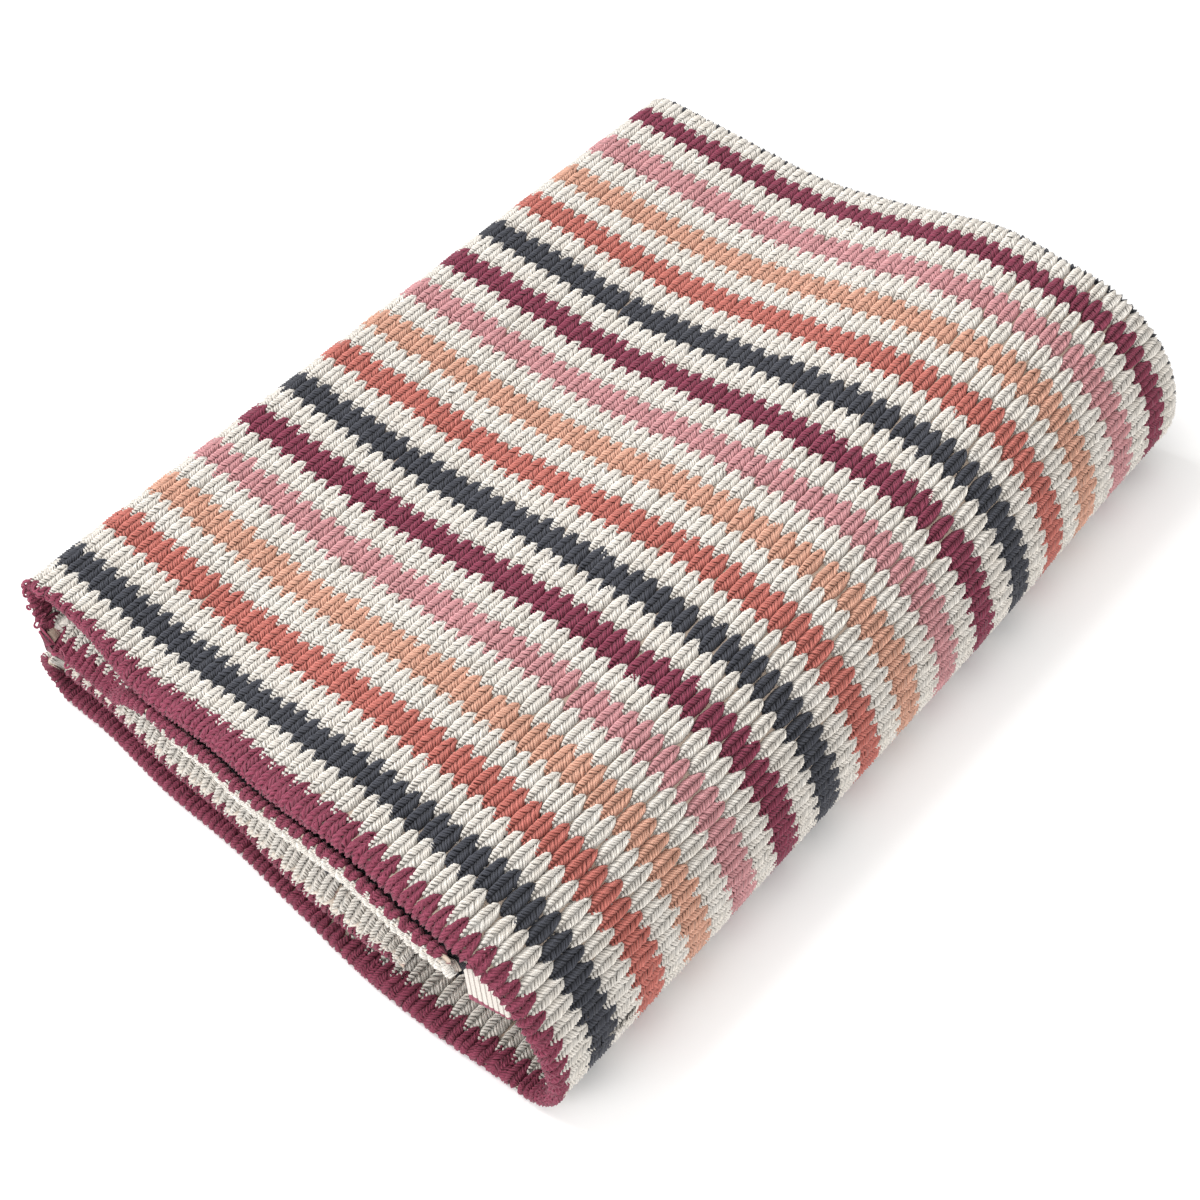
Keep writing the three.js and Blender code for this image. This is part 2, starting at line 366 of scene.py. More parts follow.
def grid_mesh(name, body, place_in_grid):
    """The finished bmesh as a mesh, without the corners' places in the grid."""
    mesh = bpy.data.meshes.new(name)
    body.verts.layers.int.remove(place_in_grid)
    body.to_mesh(mesh)
    body.free()
    return mesh


# Colours, from the near edge inwards; every other band is cream
CREAM = (0.90, 0.83, 0.74)
BURGUNDY = (0.28, 0.056, 0.100)
NAVY = (0.073, 0.077, 0.094)
CORAL = (0.60, 0.20, 0.165)
PEACH = (0.74, 0.42, 0.31)
PINK = (0.67, 0.34, 0.355)
BAND_COLOURS = ["burgundy", "cream", "navy", "cream", "coral", "cream", "peach", "cream", "pink", "cream"]
YARNS = {"cream": CREAM, "burgundy": BURGUNDY, "navy": NAVY, "coral": CORAL, "peach": PEACH, "pink": PINK}
# Painted shade: the cream of the cloth under the stitches, darkened as if in shade between the leaves
PAINTED_SHADE_GROUND = (0.52, 0.42, 0.34)
# Painted shade: the near black that darkens the grooves between the drawn stitches of the bare cloth
PAINTED_GROOVE_SHADE = (0.03, 0.02, 0.02)

# How matt and soft the surfaces are
ROUGHNESS = 0.95
SPECULAR = 0.15
SHEEN = 0.15
SHEEN_ROUGHNESS = 0.5


class Nodes:
    """Short ways to add and join the nodes of a new material."""

    def __init__(self, name):
        self.material = bpy.data.materials.new(name)
        self.material.use_nodes = True
        self.tree = self.material.node_tree
        self.tree.nodes.clear()
        self.output = self.tree.nodes.new("ShaderNodeOutputMaterial")

    def add(self, kind, inputs=None, **settings):
        node = self.tree.nodes.new(kind)
        for key, value in settings.items():
            setattr(node, key, value)
        for key, value in (inputs or {}).items():
            self.put(node.inputs[key], value)
        return node

    def put(self, socket, value):
        if isinstance(value, bpy.types.NodeSocket):
            self.tree.links.new(value, socket)
        elif isinstance(value, tuple) and len(value) == 3 and socket.type == "RGBA":
            socket.default_value = (*value, 1.0)
        else:
            socket.default_value = value

    def math(self, operation, a, b=0.0, c=0.0):
        return self.add("ShaderNodeMath", {0: a, 1: b, 2: c}, operation=operation).outputs[0]

    def colour_mix(self, factor, a, b):
        node = self.add("ShaderNodeMix", data_type="RGBA")
        self.put(node.inputs[0], factor)
        self.put(node.inputs[6], a)
        self.put(node.inputs[7], b)
        return node.outputs[2]

    def noise(self, scale, detail=2.0):
        """Even noise all over the piece, finer with a larger scale."""
        node = self.add("ShaderNodeTexNoise", {"Scale": scale, "Detail": detail, "Roughness": 0.5})
        self.put(node.inputs["Vector"], self.add("ShaderNodeTexCoord").outputs["Object"])
        return node.outputs["Fac"]

    def cloth_map(self):
        """The two values of the cloth's own map."""
        uv = self.add("ShaderNodeUVMap", uv_map="cloth").outputs[0]
        parts = self.add("ShaderNodeSeparateXYZ", {0: uv})
        return parts.outputs[0], parts.outputs[1]

    def attribute(self, name):
        return self.add("ShaderNodeAttribute", attribute_name=name).outputs["Fac"]

    def finish(self, colour, height, strength, distance):
        """A matt, slightly soft surface; its relief has a strength and a height in metres."""
        relief = {"Strength": strength, "Distance": distance, "Height": height}
        shader = self.add("ShaderNodeBsdfPrincipled")
        self.put(shader.inputs["Base Color"], colour)
        self.put(shader.inputs["Normal"], self.add("ShaderNodeBump", relief).outputs[0])
        self.put(shader.inputs["Roughness"], ROUGHNESS)
        self.put(shader.inputs["Specular IOR Level"], SPECULAR)
        self.put(shader.inputs["Sheen Weight"], SHEEN)
        self.put(shader.inputs["Sheen Roughness"], SHEEN_ROUGHNESS)
        self.tree.links.new(shader.outputs[0], self.output.inputs[0])
        return self.material


# The yarns' plies and fibres, and their painted shade: colour darkened where a stitch lies low and between
# the plies
PLY_SLANT = 0.12
PLY_COUNT = 2.0
PATCH_SCALE = 260.0
YARN_FIBRE_SCALE = 2600.0
CLOTH_FIBRE_SCALE = 1500.0
# Painted shade: the yarn's colour as if in shade
PAINTED_SHADE_POWER = 1.3
PAINTED_SHADE_SHARE = 0.38
LIGHT_SHARE = 1.3
LIGHT_MORE = 0.02
# Painted shade: it clears as the lift rises, and it darkens the yarn between the plies
LIFT_CLEARS = 1.15
PLY_PAINTED_SHADE = 0.3
PATCH_SHARE = 0.5
PLY_HEIGHT = 0.7
FIBRE_HEIGHT = 0.5
YARN_RELIEF = (0.7, 0.00025)

# The stripes' zigzag borders and the drawn stitches of the bare cloth, with painted shade in the grooves
# between those stitches
ZIGZAG = 0.5
ZIGZAG_START = 0.375
LEG_ACROSS = 1.24
LEG_LEAN = 3.0
GROOVE_SHARE = 0.5
GROOVE_SHADE = 0.6
CLOTH_RELIEF = (0.8, 0.0004)


def ridges(n, value):
    """Rounded ridges, one for each whole step of a value."""
    return n.math("ABSOLUTE", n.math("SINE", n.math("MULTIPLY", value, math.pi)))


def yarn_material(name, colour):
    """Twisted yarn: its plies run slantwise along each stitch, and its colour is darkened with painted shade
    between stitches and between plies, where the lift is low.
    """
    n = Nodes(name + " yarn")
    across, along = n.cloth_map()
    slant = n.math("MULTIPLY_ADD", along, PLY_SLANT, n.math("MULTIPLY", across, PLY_COUNT))
    ply = ridges(n, slant)
    patchy = n.noise(PATCH_SCALE, 3.0)
    fibre = n.noise(YARN_FIBRE_SCALE)
    # Painted shade: deep is the yarn's colour as if in shade, shown where the lift is low and between the
    # plies
    deep = tuple(c**PAINTED_SHADE_POWER * PAINTED_SHADE_SHARE for c in colour)
    light = tuple(min(1.0, c * LIGHT_SHARE + LIGHT_MORE) for c in colour)
    between = n.math("MULTIPLY_ADD", ply, PLY_PAINTED_SHADE, -PLY_PAINTED_SHADE)
    clear = n.math("MULTIPLY_ADD", n.attribute("lift"), LIFT_CLEARS, between)
    body = n.colour_mix(n.add("ShaderNodeClamp", {0: clear}).outputs[0], deep, colour)
    body = n.colour_mix(n.math("MULTIPLY", patchy, PATCH_SHARE), body, light)
    height = n.math("MULTIPLY_ADD", ply, PLY_HEIGHT, n.math("MULTIPLY", fibre, FIBRE_HEIGHT))
    return n.finish(body, height, *YARN_RELIEF)


def stripe_colour(n, half, band):
    """The stripes with their zigzag borders, as colours; half is the distance from a rib's middle."""
    zigzag = n.math("MULTIPLY_ADD", half, ZIGZAG, n.math("ADD", band, ZIGZAG_START))
    step = n.math("FRACT", n.math("DIVIDE", zigzag, float(len(BAND_COLOURS))))
    ramp = n.add("ShaderNodeValToRGB", {0: step})
    ramp.color_ramp.interpolation = "CONSTANT"
    stops = ramp.color_ramp.elements
    for k, name in enumerate(BAND_COLOURS):
        stop = stops[k] if k < 2 else stops.new(k / len(BAND_COLOURS))
        stop.position = k / len(BAND_COLOURS)
        stop.color = (*YARNS[name], 1.0)
    return ramp.outputs[0]


def cloth_material():
    """The cloth under the stitches: cream in painted shade, and the stripes and their stitches where it is
    bare, with painted shade between those stitches.
    """
    n = Nodes("knitted cloth")
    rib, band = n.cloth_map()
    half = n.math("ABSOLUTE", n.math("SUBTRACT", n.math("FRACT", rib), 0.5))
    rows = n.math("MULTIPLY", band, BAND_PITCH / LEG_ACROSS)
    leg = ridges(n, n.math("MULTIPLY_ADD", half, LEG_LEAN, rows))
    bare = n.attribute("bare")
    fibre = n.noise(CLOTH_FIBRE_SCALE, 3.0)
    # Cream in painted shade where stitches cover the cloth, and the stripes where it is bare
    colour = n.colour_mix(bare, PAINTED_SHADE_GROUND, stripe_colour(n, half, band))
    # Painted shade: the colour darkens towards near black in the grooves between the drawn legs of the bare
    # cloth
    dark = n.colour_mix(GROOVE_SHARE, colour, PAINTED_GROOVE_SHADE)
    shade = n.math("MULTIPLY", bare, GROOVE_SHADE)
    clear = n.math("MULTIPLY_ADD", leg, shade, n.math("SUBTRACT", 1.0, shade))
    colour = n.colour_mix(clear, dark, colour)
    height = n.math("MULTIPLY_ADD", leg, bare, n.math("MULTIPLY", fibre, FIBRE_HEIGHT))
    return n.finish(colour, height, *CLOTH_RELIEF)


# The stitches: each leaf of the knit is two rows of slanted legs on a soft mound
LEAF_HALF = 5.4
LEAF_WIDTH = 2.3
ROW_COUNT = 13
ROW_PITCH = 0.715
ROW_PLACES = [0.0, 0.12, 0.3, 0.5, 0.72, 0.88, 1.0]
ROW_WIDTHS = [1.0, 1.6, 2.15, 2.35, 2.3, 2.05, 1.55]
ROW_SLANTS = [0.7, 0.75, 0.82, 0.88, 1.0, 1.2, 1.45]
LAST_BAND = 33
LEAF_SHIFT = 0.35
LEAF_ASIDE = 0.035
LEAF_VARIES = 0.08
INNER_EDGE_SHIFT = -0.6

# A leg: three places along it, from the leaf's side to its middle, and three across
LEG_INSET = 0.3
LEG_SHORTER = 0.15
LEG_BEND = (0.60, 0.05, 0.38)
LEG_END_ACROSS = 0.16
LEG_LOW = np.array([-2.0, -1.25, -1.55])
LEG_LIFT = np.array([0.2, 0.95, 0.55])
LEG_RADIUS = np.array([0.30, 0.40, 0.28])
LEG_SIDES = np.array([1.0, 0.0, -1.0])
LEG_UPS = np.array([-0.9, 0.75, -0.9])
# Painted shade: a leg's ends and sides count as less lifted, so the yarn is painted darker there
LEG_PLACES_LIFT = np.array([0.35, 1.0, 0.3])
LEG_SIDES_LIFT = np.array([0.15, 1.0, 0.15])
LEG_PLIES = np.array([0.0, 1.2, 2.4])
LEAF_DROP = 0.30
ROW_UNEVEN = 0.06
LIFT_UNEVEN = 0.09
WIDTH_RANGE = (0.92, 1.06)
ADVANCE_RANGE = (0.9, 1.1)
RADIUS_RANGE = (0.9, 1.1)
PLY_START_RANGE = (0, 9)

# A mound: its places along the leaf and across it, and its height at each place across
MOUND_ALONG = np.array([-1.0, -0.86, -0.5, 0.0, 0.5, 0.84, 1.0])
MOUND_ACROSS = np.array([-1.0, -0.55, 0.0, 0.55, 1.0])
MOUND_RISE = np.array([-2.05, -1.0, -1.45, -1.0, -2.05])
MOUND_ROUND = 2.6
MOUND_FULL = 0.6
MOUND_MARGIN = 0.15
MOUND_DROP = 0.6

# Where the relief wraps round the near edge it is flatter and fuller
WRAP_REACH = 4.5
WRAP_FLATTER = 0.45
WRAP_FULLER = 0.35

# Loose ends: small loops of yarn stand off the edge of the cloth at its left corner
LOOP_COUNT = 30
LOOP_FIRST_RIB = UPPER_TURN_RIB - 2.5
LOOP_RIBS = 9.0
LOOP_TURNS = 9
LOOP_SIDES = 6
LOOP_RADIUS = 0.34
LOOP_DIVE = 0.3
LOOP_RISE = 0.1
# The loops' lift keeps the yarn's painted shade light on them
LOOP_LIFT = 0.8
LOOP_T_RANGE = (-5.0, 1.0)
LOOP_WIDTH_RANGE = (0.6, 1.1)
LOOP_HEIGHT_RANGE = (0.5, 1.1)
LOOP_LEAN_RANGE = (-1.2, 1.2)

# Where leaves show inside the pack: along the curled left edge, and in the hollow at the spine
CURL_RIB = 26
CURL_BANDS = 3
HOLLOW_FIRST_RIB = SPINE_RIB - 6
HOLLOW_LAST_RIB = BOTTOM_RIB + 12
HOLLOW_BANDS = 6
FLAP_BANDS = 3
NEXT_RIB = 0.6


def band_middle(band):
    """The middle of a band as a length along the cloth's loop; below 0 the bands are the inner face's."""
    band = np.asarray(band, float)
    outer = (band - BAND_START) * BAND_PITCH
    inner = INNER_T - INNER_EDGE_SHIFT + (band + 1) * BAND_PITCH
    return np.where(band >= 0, outer, inner)


def band_colour(band):
    """The name of a band's colour; the inner face repeats the outer one's."""
    return BAND_COLOURS[int(band if band >= 0 else -band - 1) % len(BAND_COLOURS)]


def leaves(first_rib, last_rib, bands):
    """A field of leaves: rib number, band, shift and size of each; coloured bands lie on the half ribs."""
    found = []
    for band in bands:
        cream = band_colour(band) == "cream"
        ribs = np.arange(first_rib, last_rib + 0.01) + (0.0 if cream else 0.5)
        ribs = ribs[(ribs >= first_rib) & (ribs <= last_rib)]
        moved = RANDOM.normal(0, LEAF_SHIFT, len(ribs))
        grown = RANDOM.uniform(1 - LEAF_VARIES, 1 + LEAF_VARIES, len(ribs))
        aside = RANDOM.normal(0, LEAF_ASIDE, len(ribs))
        found.append(np.stack([ribs + aside, np.full_like(ribs, band), moved, grown], -1))
    return np.concatenate(found)


def wrap_relief(t, h):
    """Relief is flatter where the cloth wraps round its near edge."""
    middle = (EDGE_T + INNER_T) / 2
    near = np.clip(1 - np.abs(t - middle) / WRAP_REACH, 0, 1)
    return h * (1 - WRAP_FLATTER * near) + WRAP_FULLER * near


def patch_faces(rows, columns, count):
    """The four-cornered faces of many patches of the same rows and columns, one patch after another."""
    index = np.arange(rows * columns).reshape(rows, columns)
    quads = np.stack([index[:-1, :-1], index[:-1, 1:], index[1:, 1:], index[1:, :-1]], -1).reshape(-1, 4)
    return quads[None] + index.size * np.arange(count)[:, None, None]


def stitch_legs(field):
    """Both rows of slanted legs of each leaf as small rounded ridges: points, faces, uv and lift; the lift
    sets the yarn's painted shade.
    """
    rib, band, moved, grown = np.tile(field, (2 * ROW_COUNT, 1)).T
    row = np.repeat(np.arange(ROW_COUNT), 2 * len(field))
    side = np.tile(np.repeat([-1.0, 1.0], len(field)), ROW_COUNT)
    count = len(rib)
    place_in_leaf = row / (ROW_COUNT - 1)
    width = np.interp(place_in_leaf, ROW_PLACES, ROW_WIDTHS) * RANDOM.uniform(*WIDTH_RANGE, count) * grown
    start = -LEAF_HALF + LEG_INSET + ROW_PITCH * row + RANDOM.normal(0, ROW_UNEVEN, count)
    slant = np.interp(place_in_leaf, ROW_PLACES, ROW_SLANTS)
    advance = (width - LEG_SHORTER) * slant * RANDOM.uniform(*ADVANCE_RANGE, count)
    middle = (start + advance / 2) / LEAF_HALF
    lift = 1 - LEAF_DROP * np.abs(middle) ** 3 + RANDOM.normal(0, LIFT_UNEVEN, count)
    bend_across, bend_more, bend_along = LEG_BEND
    u = np.stack([width, bend_across * width + bend_more, np.full(count, LEG_END_ACROSS)], -1)
    t = np.stack([start, start + bend_along * advance, start + advance], -1)
    h = LEG_LOW + LEG_LIFT * lift[:, None]
    radius = LEG_RADIUS * RANDOM.uniform(*RADIUS_RANGE, (count, 1))
    du = np.gradient(u, axis=1)
    dt = np.gradient(t, axis=1)
    length = np.hypot(du, dt)
    uu = u[..., None] - (dt / length)[..., None] * LEG_SIDES * radius[..., None]
    tt = t[..., None] + (du / length)[..., None] * LEG_SIDES * radius[..., None]
    hh = h[..., None] + LEG_UPS * radius[..., None]
    turned = np.where(band < 0, -1.0, 1.0)
    rib_at = rib[:, None, None] + side[:, None, None] * uu / RIB_PITCH
    t_at = (band_middle(band) + moved)[:, None, None] + turned[:, None, None] * tt
    points = place(rib_at, t_at, wrap_relief(t_at, hh)).reshape(-1, 3)
    faces = patch_faces(3, 3, count)
    flip = side * turned < 0
    faces[flip] = faces[flip][:, :, ::-1]
    across = np.broadcast_to([1.0, 0.5, 0.0], (count, 3, 3))
    ply_start = RANDOM.uniform(*PLY_START_RANGE, (count, 1, 1))
    along = np.broadcast_to(LEG_PLIES[:, None], (count, 3, 3)) + ply_start
    uv = np.stack([across, along], -1).reshape(-1, 2)
    lifted = LEG_PLACES_LIFT[:, None] * LEG_SIDES_LIFT[None] * lift[:, None, None]
    return points, faces.reshape(-1, 4), uv, lifted.ravel()


def leaf_mounds(field):
    """The soft body of each leaf under its legs, painted in the yarn's shade colour between them: points,
    faces, uv and lift.
    """
    rib, band, moved, grown = (column[:, None, None] for column in field.T)
    half = LEAF_WIDTH * (1 - np.abs(MOUND_ALONG) ** MOUND_ROUND) ** MOUND_FULL + MOUND_MARGIN
    u = (half[:, None] * MOUND_ACROSS) * grown
    drop = MOUND_DROP * np.abs(MOUND_ALONG[:, None]) ** 3
    turned = np.where(band < 0, -1.0, 1.0)
    t_at = np.broadcast_to(band_middle(band) + moved + turned * MOUND_ALONG[:, None] * LEAF_HALF, u.shape)
    points = place(rib + u / RIB_PITCH, t_at, wrap_relief(t_at, MOUND_RISE[None] - drop)).reshape(-1, 3)
    faces = patch_faces(len(MOUND_ALONG), len(MOUND_ACROSS), len(field))
    inner = field[:, 1] < 0
    faces[inner] = faces[inner][:, :, ::-1]
    # No lift: the mounds take the yarn's painted shade all over
    return points, faces.reshape(-1, 4), np.zeros((len(points), 2)), np.zeros(len(points))


def loose_loops():
    """Small arcs of yarn that stand off the edge: points, faces, uv and lift."""
    rib = LOOP_FIRST_RIB + LOOP_RIBS * RANDOM.random(LOOP_COUNT)
    t = RANDOM.uniform(*LOOP_T_RANGE, LOOP_COUNT)
    wide = RANDOM.uniform(*LOOP_WIDTH_RANGE, LOOP_COUNT)
    high = RANDOM.uniform(*LOOP_HEIGHT_RANGE, LOOP_COUNT)
    lean = RANDOM.uniform(*LOOP_LEAN_RANGE, LOOP_COUNT)
    turns = np.linspace(-LOOP_DIVE, math.pi + LOOP_DIVE, LOOP_TURNS)
    turn, side = np.meshgrid(turns, np.linspace(0, 2 * math.pi, LOOP_SIDES + 1))
    out = LOOP_RADIUS * np.cos(side)
    u = (wide[:, None, None] + out) * np.cos(turn)
    h = (high[:, None, None] + out) * np.sin(turn) + LOOP_RISE
    t_at = t[:, None, None] + LOOP_RADIUS * np.sin(side) + lean[:, None, None] * np.sin(turn)
    points = place(rib[:, None, None] + u / RIB_PITCH, t_at, h).reshape(-1, 3)
    faces = patch_faces(LOOP_SIDES + 1, LOOP_TURNS, LOOP_COUNT)[:, :, ::-1]
    across, along = np.broadcast_arrays(side[None] / math.pi, turn[None] * wide[:, None, None])
    uv = np.stack([across, along], -1).reshape(-1, 2)
    return points, faces.reshape(-1, 4), uv, np.full(len(points), LOOP_LIFT)


FIELDS = [
    leaves(UPPER_TURN_RIB, BOTTOM_RIB, range(0, LAST_BAND + 1)),
    leaves(LOWER_TURN_RIB, LOWER_FLAP_RIB - 1, range(0, LAST_BAND + 1)),
    leaves(0, UPPER_TURN_RIB - 1, range(0, FLAP_BANDS)),
    leaves(LOWER_FLAP_RIB, RIB_COUNT, range(0, FLAP_BANDS)),
    leaves(BOTTOM_RIB + NEXT_RIB, LOWER_TURN_RIB, range(0, 1)),
    leaves(CURL_RIB, TOP_RIB, range(-CURL_BANDS, 0)),
    leaves(HOLLOW_FIRST_RIB, HOLLOW_LAST_RIB, range(-HOLLOW_BANDS, 0)),
    leaves(HOLLOW_LAST_RIB + NEXT_RIB, LOWER_FLAP_RIB, range(-1, 0)),
    leaves(TOP_RIB + NEXT_RIB, HOLLOW_FIRST_RIB, range(-1, 0)),
    leaves(0, CURL_RIB - 1 + NEXT_RIB, range(-1, 0)),
    leaves(LOWER_FLAP_RIB + NEXT_RIB, RIB_COUNT, range(-1, 0)),
]


def join(*parts):
    """Sets of points, faces, uv and lift as one; each set's faces count on from the points before them."""
    before = np.cumsum([0] + [len(part[0]) for part in parts])
    faces = np.concatenate([part[1] + start for part, start in zip(parts, before)])
    points, uv, lift = (np.concatenate([part[k] for part in parts]) for k in (0, 2, 3))
    return points, faces, uv, lift


def stitch_mesh(name, points, faces, uv, lift):
    """A mesh of many small patches from arrays of their points and four-cornered faces."""
    mesh = bpy.data.meshes.new(name)
    mesh.vertices.add(len(points))
    mesh.vertices.foreach_set("co", points.ravel())
    mesh.loops.add(faces.size)
    mesh.loops.foreach_set("vertex_index", faces.ravel().astype(np.int32))
    mesh.polygons.add(len(faces))
    mesh.polygons.foreach_set("loop_start", np.arange(0, faces.size, 4, dtype=np.int32))
    mesh.update(calc_edges=True)
    mesh.shade_smooth()
    mesh.uv_layers.new(name="cloth").data.foreach_set("uv", uv[faces.ravel()].ravel())
    # The lift sets how much painted shade the yarn material puts on each place
    mesh.attributes.new("lift", "FLOAT", "POINT").data.foreach_set("value", lift.astype(np.float32))
    mesh.validate()
    return mesh


def make_stitches():
    """One piece of stitches for each yarn, and two for cream."""
    field = np.concatenate(FIELDS)
    names = np.array([band_colour(band) for band in field[:, 1]])
    pieces = []
    for name, colour in YARNS.items():
        material = yarn_material(name, colour)
        mine = field[names == name]
        groups = [mine]
        if name == "cream":
            groups = np.array_split(mine[np.argsort(mine[:, 0], kind="stable")], 2)
        for k, group in enumerate(groups):
            parts = [stitch_legs(group), leaf_mounds(group)]
            if name == "burgundy":
                parts.append(loose_loops())
            label = f"{name}_stitches" + (f"_{k + 1}" if len(groups) > 1 else "")
            pieces.append(finish_piece(label, stitch_mesh(label, *join(*parts)), material))
    return pieces


# The cloth under the stitches: its rows along the loop are close near the edge and wider deep inside
RIB_STEPS = 4
EDGE_ZONE = 18.0
EDGE_ROW = 2.0
CLOTH_ROW = 4.085
SEEN_INSIDE = 50.0
DEEP_FROM = 60.0
DEEP_ROW = 30.0
FOLD_STEPS = 8
EDGE_STEPS = 6
EDGE_ROWS = np.arange(EDGE_T, EDGE_ZONE, EDGE_ROW)
OUTER_ROWS = np.concatenate([EDGE_ROWS, np.arange(EDGE_ZONE, FOLD_Y - 1, CLOTH_ROW)])
SEEN_ROWS = np.arange(EDGE_ZONE, SEEN_INSIDE, CLOTH_ROW)
INNER_ROWS = np.concatenate([EDGE_ROWS, SEEN_ROWS, np.arange(DEEP_FROM, FOLD_Y - 1, DEEP_ROW)])
RETURN_ROWS = np.array([240.0, 215.0, 160.0, 100.0, 50.0, RETURN_Y + EDGE_RADIUS])
END_STEPS = np.array([1.0, 0.92, 0.71, 0.38])
THINNEST = 0.001
GROUND_DEPTH = 2.0
BARE_DEPTH = 1.0
BARE_TOP = -0.1
LEAF_COVER = 4.0


def dressed(rib, t):
    """How much stitches cover the cloth at these places: 1 where they do, 0 where it is bare."""
    outside = (rib > UPPER_TURN_RIB - 0.5) & (rib < BOTTOM_RIB + 0.5)
    outside |= (rib > LOWER_TURN_RIB - 0.5) & (rib < LOWER_FLAP_RIB - 0.5)
    outside = outside & (t >= EDGE_T) & (t < band_middle(LAST_BAND) + LEAF_COVER)
    flaps = (rib < UPPER_TURN_RIB) | (rib > LOWER_FLAP_RIB - 1)
    edge = (t <= band_middle(0) + LEAF_COVER) & (t > band_middle(-1) - LEAF_COVER)
    edge |= (t > EDGE_T) & (t < band_middle(FLAP_BANDS) - LEAF_COVER) & flaps
    curl = (rib > CURL_RIB - 0.5) & (rib < TOP_RIB)
    inside = (t < INNER_T) & (t > band_middle(-CURL_BANDS) - LEAF_COVER) & curl
    hollow = (rib > HOLLOW_FIRST_RIB) & (rib < HOLLOW_LAST_RIB)
    inside |= (t < INNER_T) & (t > band_middle(-HOLLOW_BANDS) - LEAF_COVER) & hollow
    return (outside | edge | inside).astype(float)


def loop_rows():
    """The lengths of the cloth's rows all round: outer face, far fold, return, back again and near edge."""
    outer = list(OUTER_ROWS)
    outer += list(np.linspace(FOLD_Y, FOLD_T, FOLD_STEPS + 1))
    outer += list(FOLD_T + FOLD_Y - RETURN_ROWS)
    inner = list(INNER_T - (INNER_ROWS - EDGE_RADIUS))
    inner += list(np.linspace(INNER_FOLD_T, INNER_RETURN_T, FOLD_STEPS // 2 + 1))
    inner += list(INNER_RETURN_T - (FOLD_Y - RETURN_ROWS))
    near_edge = list(np.linspace(INNER_T, EDGE_T, EDGE_STEPS + 1)[1:-1])
    back_edge = list(np.linspace(RETURN_T, RETURN_T + math.pi * EDGE_RADIUS, EDGE_STEPS + 1)[1:-1])
    return np.array(outer + back_edge + inner[::-1] + near_edge)


def rib_columns():
    """The rib numbers of the cloth's columns, with rounded free ends, and how thick the cloth is at each."""
    ends = END_STEPS * EDGE_RADIUS / RIB_PITCH
    ribs = np.concatenate([-ends, np.arange(0, RIB_COUNT + THINNEST, 1 / RIB_STEPS), RIB_COUNT + ends[::-1]])
    thickness = np.ones(len(ribs))
    thickness[: len(ends)] = np.sqrt(1 - np.minimum(1 - THINNEST, END_STEPS**2))
    thickness[-len(ends) :] = thickness[: len(ends)][::-1]
    return ribs, thickness


def make_cloth(material):
    """The cloth as one closed loop of rows, with rounded free ends."""
    ribs, thickness = rib_columns()
    rib, t = np.meshgrid(ribs, loop_rows())
    covered = dressed(rib, t)
    rounded = 0.5 - 0.5 * np.cos(2 * math.pi * rib)
    h = wrap_relief(t, mix(BARE_TOP - BARE_DEPTH * rounded, -GROUND_DEPTH, covered))
    points = place(rib, t, h, np.broadcast_to(thickness, rib.shape)).reshape(-1, 3)
    distance = np.where(t >= EDGE_T, t, 0.0)
    distance = np.where(t < INNER_T, INNER_T - t + EDGE_RADIUS, distance)
    uv = np.stack([rib, distance / BAND_PITCH + BAND_START], -1).reshape(-1, 2)
    bare = 1 - covered.ravel()

    rows, columns = rib.shape
    body, place_in_grid = grid(rows + 1, columns)
    body.verts.ensure_lookup_table()
    last_row = body.verts[rows * columns :]
    bmesh.ops.weld_verts(body, targetmap=dict(zip(last_row, body.verts[:columns])))
    bareness = body.verts.layers.float.new("bare")
    for corner in body.verts:
        corner.co = points[corner[place_in_grid]]
        corner[bareness] = bare[corner[place_in_grid]]
    write_cloth_map(body, place_in_grid, uv)
    close_ends(body)
    mesh = grid_mesh("knitted_cloth", body, place_in_grid)
    piece = finish_piece("knitted_cloth", mesh, material)
    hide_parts("towel")
    return piece


def close_ends(body):
    """A face closes the thin opening that is left at each of the cloth's two free ends."""
    open_edges = [edge for edge in body.edges if edge.is_boundary]
    for face in bmesh.ops.contextual_create(body, geom=open_edges)["faces"]:
        face.smooth = True
    bmesh.ops.recalc_face_normals(body, faces=body.faces)


cloth = make_cloth(cloth_material())
stitches = make_stitches()

# The tab
TAB_THICK = 1.0
TAB_Y = -PACK_DEPTH / 2 - 1.5 + TAB_THICK / 2 - MIDDLE_Y
TAB_TOP = [(83.5, 46.5), (97.5, 40.0)]
TAB_FOOT = [(81.6, 22.8), (97.0, 31.5)]
TAB_RIBS = 8
TAB_RIB_STEPS = 8
TAB_ROWS = 25
TAB_RIB_HEIGHT = 0.35
TAB_EDGE_ROUND = 30.0
TAB_EDGE_THIN = 0.25
TAB_COLOUR = (0.68, 0.63, 0.58)
# Painted shade: a dark brown that darkens the grooves between the tape's woven ribs
TAB_PAINTED_GROOVE_SHADE = (0.10, 0.06, 0.05)
TAB_BORDER = 0.90
TAB_BORDER_UNEVEN = 0.08
TAB_BORDER_SCALE = 500.0
TAB_WEAVE = 60.0
TAB_WEAVE_HEIGHT = 0.6
TAB_FIBRE_SCALE = 1800.0
TAB_GROOVE_WIDTH = 0.38
TAB_GROOVE_SHARE = 0.5
TAB_RELIEF = (0.6, 0.0003)


